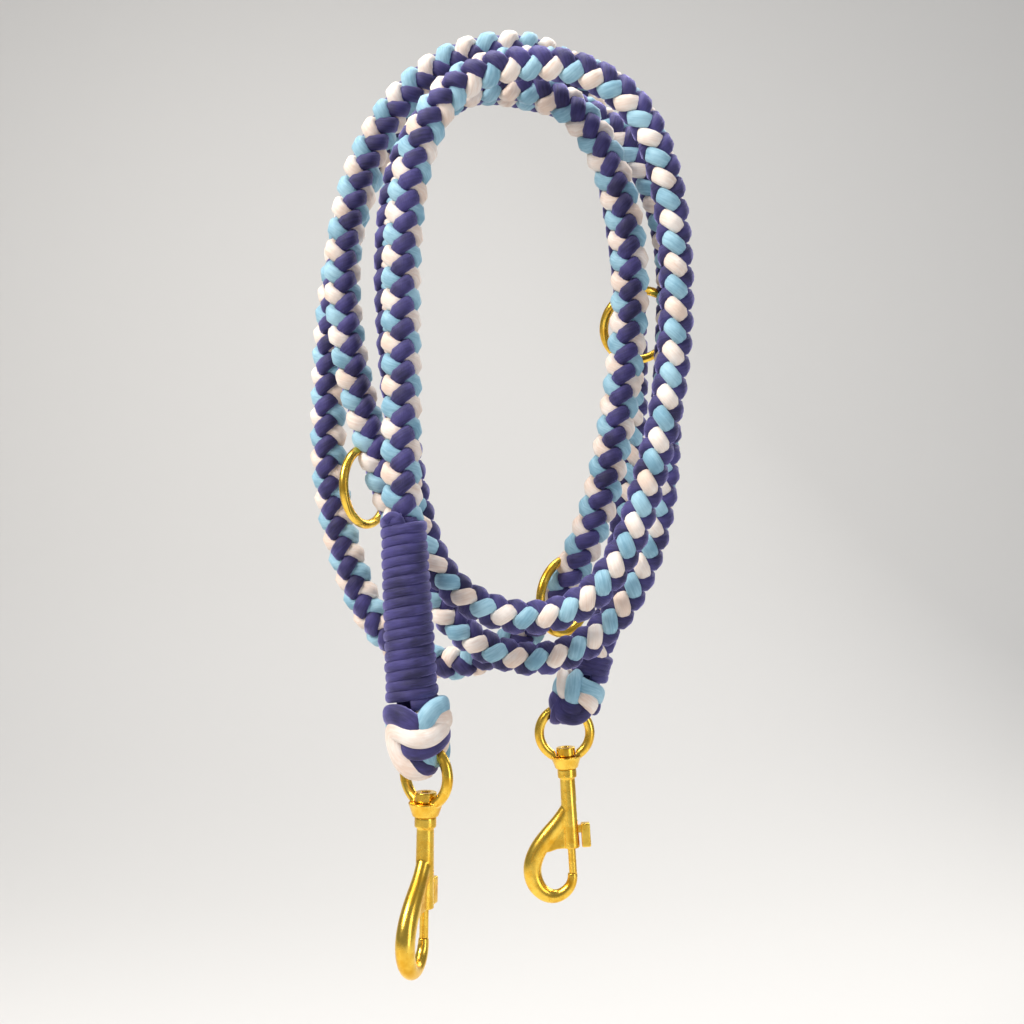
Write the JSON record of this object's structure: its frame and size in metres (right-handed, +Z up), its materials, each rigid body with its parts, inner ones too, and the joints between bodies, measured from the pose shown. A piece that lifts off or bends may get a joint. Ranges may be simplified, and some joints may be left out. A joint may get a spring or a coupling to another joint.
{
  "type": "lead rope",
  "caption": "Braided horse lead rope with whipped ends, bolt snaps on swivel eyes and rings through the rope, hung in a coil over a hook.",
  "frame": {"origin": "where the hung rope rests on the top of its hook, under the middle of the top turns", "axes": "+Z up, +X to the viewer's right of the hung coil, +Y from the front of the coil to its back"},
  "size_m": [0.1714, 0.1227, 0.4017],
  "materials": {
    "rope_braid": "braided strands in navy, light blue and white",
    "whipping_cord": "tightly wound navy cord",
    "knot_strands": "interlaced rope strands in navy, light blue and white",
    "gold_metal": "polished, lightly worn",
    "spring_steel": "plain wire"
  },
  "bodies": {
    "rope": {"braided_rope": "rope_braid", "whipping_a": "whipping_cord", "whipping_b": "whipping_cord", "crown_knot_a": "knot_strands", "crown_knot_b": "knot_strands", "end_loop_a": "knot_strands", "end_loop_b": "knot_strands"},
    "eye_a": {"swivel_eye_a": "gold_metal"},
    "hook_a": {"hook_body_a": "gold_metal", "spring_a": "spring_steel", "bore_plug_a": "gold_metal"},
    "gate_a": {"bolt_a": "gold_metal", "thumb_tab_a": "gold_metal"},
    "eye_b": {"swivel_eye_b": "gold_metal"},
    "hook_b": {"hook_body_b": "gold_metal", "spring_b": "spring_steel", "bore_plug_b": "gold_metal"},
    "gate_b": {"bolt_b": "gold_metal", "thumb_tab_b": "gold_metal"},
    "ring_1": {"ring_1": "gold_metal"},
    "ring_2": {"ring_2": "gold_metal"},
    "ring_3": {"ring_3": "gold_metal"}
  },
  "joints": [
    {"name": "eye_swing_a", "type": "hinge", "parent": "rope", "child": "eye_a", "pos_m": [-0.03706, -0.06404, -0.27498], "axis": [0.766, -0.6428, -0.0107], "range_deg": [-20, 20]},
    {"name": "hook_swivel_a", "type": "hinge", "parent": "eye_a", "child": "hook_a", "pos_m": [-0.03742, -0.06404, -0.30032], "axis": [0.014, 0, 0.9999], "continuous": true},
    {"name": "bolt_slide_a", "type": "slide", "parent": "hook_a", "child": "gate_a", "axis": [0.014, 0, 0.9999], "range_m": [0, 0.011], "stiffness_N_per_m": 250, "springref_m": -0.015, "deforming": ["spring_a"]},
    {"name": "eye_swing_b", "type": "hinge", "parent": "rope", "child": "eye_b", "pos_m": [0.021, 0.02, -0.2718], "axis": [0.9981, 0, 0.061], "range_deg": [-20, 20]},
    {"name": "hook_swivel_b", "type": "hinge", "parent": "eye_b", "child": "hook_b", "pos_m": [0.02255, 0.02, -0.2971], "axis": [-0.061, 0, 0.9981], "continuous": true},
    {"name": "bolt_slide_b", "type": "slide", "parent": "hook_b", "child": "gate_b", "axis": [-0.061, 0, 0.9981], "range_m": [0, 0.011], "stiffness_N_per_m": 250, "springref_m": -0.015, "deforming": ["spring_b"]},
    {"name": "ring_1_swing", "type": "hinge", "parent": "rope", "child": "ring_1", "pos_m": [-0.0674, -0.0149, -0.1534], "axis": [0.4695, 0.8829, 0], "range_deg": [-2, 20]},
    {"name": "ring_2_swing", "type": "hinge", "parent": "rope", "child": "ring_2", "pos_m": [0.02289, -0.0047, -0.2022], "axis": [0.6666, 0.7403, -0.0872], "range_deg": [-8, 0]},
    {"name": "ring_3_swing", "type": "hinge", "parent": "rope", "child": "ring_3", "pos_m": [0.0666, 0.0034, -0.0849], "axis": [0.6791, 0.4581, -0.5736], "range_deg": [-4, 0]}
  ]
}
